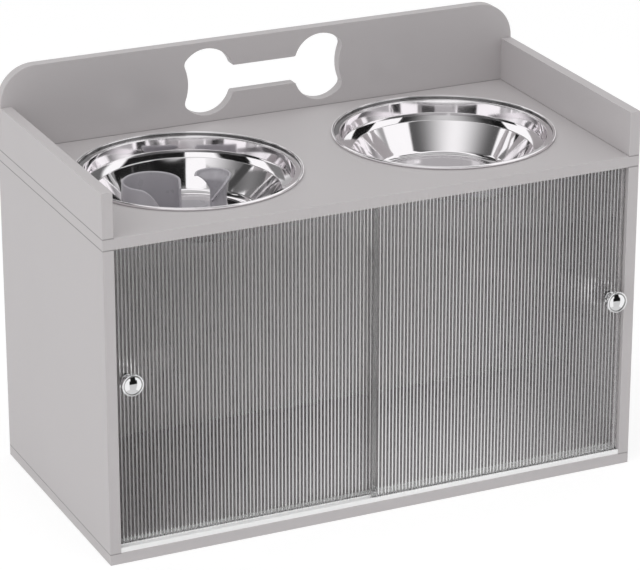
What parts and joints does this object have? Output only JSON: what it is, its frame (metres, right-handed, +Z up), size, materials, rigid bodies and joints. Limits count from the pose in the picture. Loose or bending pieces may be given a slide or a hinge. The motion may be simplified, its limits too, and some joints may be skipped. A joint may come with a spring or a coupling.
{
  "type": "elevated dog feeder with storage",
  "caption": "Low cabinet with stainless bowls let into its top, a rail on three sides with a bone cut-out, and a store behind fluted clear sliding doors.",
  "frame": {"origin": "middle of the cabinet's underside, on the floor", "axes": "+X to the right as one faces the doors, +Y to the back, +Z up"},
  "size_m": [0.6, 0.3135, 0.442],
  "materials": {
    "laminate": "smooth matt warm-grey laminate on fibreboard",
    "hardboard": "thin painted hardboard, matt warm grey",
    "track_plastic": "extruded white plastic, satin",
    "clear_acrylic": "clear acrylic, fluted front, polished",
    "knob_chrome": "polished chrome plate",
    "screw_steel": "bright zinc-plated steel",
    "washer_rubber": "soft translucent grey rubber",
    "bowl_steel": "mirror-polished stainless steel",
    "insert_plastic": "smooth mid-grey moulded plastic, satin gloss",
    "dowel_wood": "bare beech dowel",
    "cam_zinc": "die-cast zinc, dull"
  },
  "bodies": {
    "cabinet": {"bottom_board": "laminate", "left_side_panel": "laminate", "right_side_panel": "laminate", "top_board": "laminate", "back_panel": "hardboard", "splash_board": "laminate", "left_guard": "laminate", "right_guard": "laminate", "lower_track": "track_plastic", "upper_track": "track_plastic", "base_screws": "screw_steel", "guard_screws": "screw_steel", "splash_screws": "screw_steel", "carcass_dowels": "dowel_wood", "cam_bolts": "screw_steel", "cam_locks": "cam_zinc"},
    "left_sliding_door": {"left_door": "clear_acrylic", "left_knob": "knob_chrome", "left_knob_screw": "screw_steel", "left_knob_washer": "washer_rubber"},
    "right_sliding_door": {"right_door": "clear_acrylic", "right_knob": "knob_chrome", "right_knob_screw": "screw_steel", "right_knob_washer": "washer_rubber"},
    "left_food_bowl": {"left_bowl": "bowl_steel"},
    "right_food_bowl": {"right_bowl": "bowl_steel"},
    "slow_feeder": {"slow_feeder_insert": "insert_plastic"}
  },
  "joints": [
    {"name": "left_door_slide", "type": "slide", "parent": "cabinet", "child": "left_sliding_door", "axis": [1, 0, 0], "range_m": [0, 0.125]},
    {"name": "right_door_slide", "type": "slide", "parent": "cabinet", "child": "right_sliding_door", "axis": [-1, 0, 0], "range_m": [0, 0.125]},
    {"name": "left_bowl_lift", "type": "slide", "parent": "cabinet", "child": "left_food_bowl", "axis": [0, 0, 1], "range_m": [0, 0.11]},
    {"name": "right_bowl_lift", "type": "slide", "parent": "cabinet", "child": "right_food_bowl", "axis": [0, 0, 1], "range_m": [0, 0.11]},
    {"name": "slow_feeder_lift", "type": "slide", "parent": "left_food_bowl", "child": "slow_feeder", "axis": [0, 0, 1], "range_m": [0, 0.07]}
  ]
}
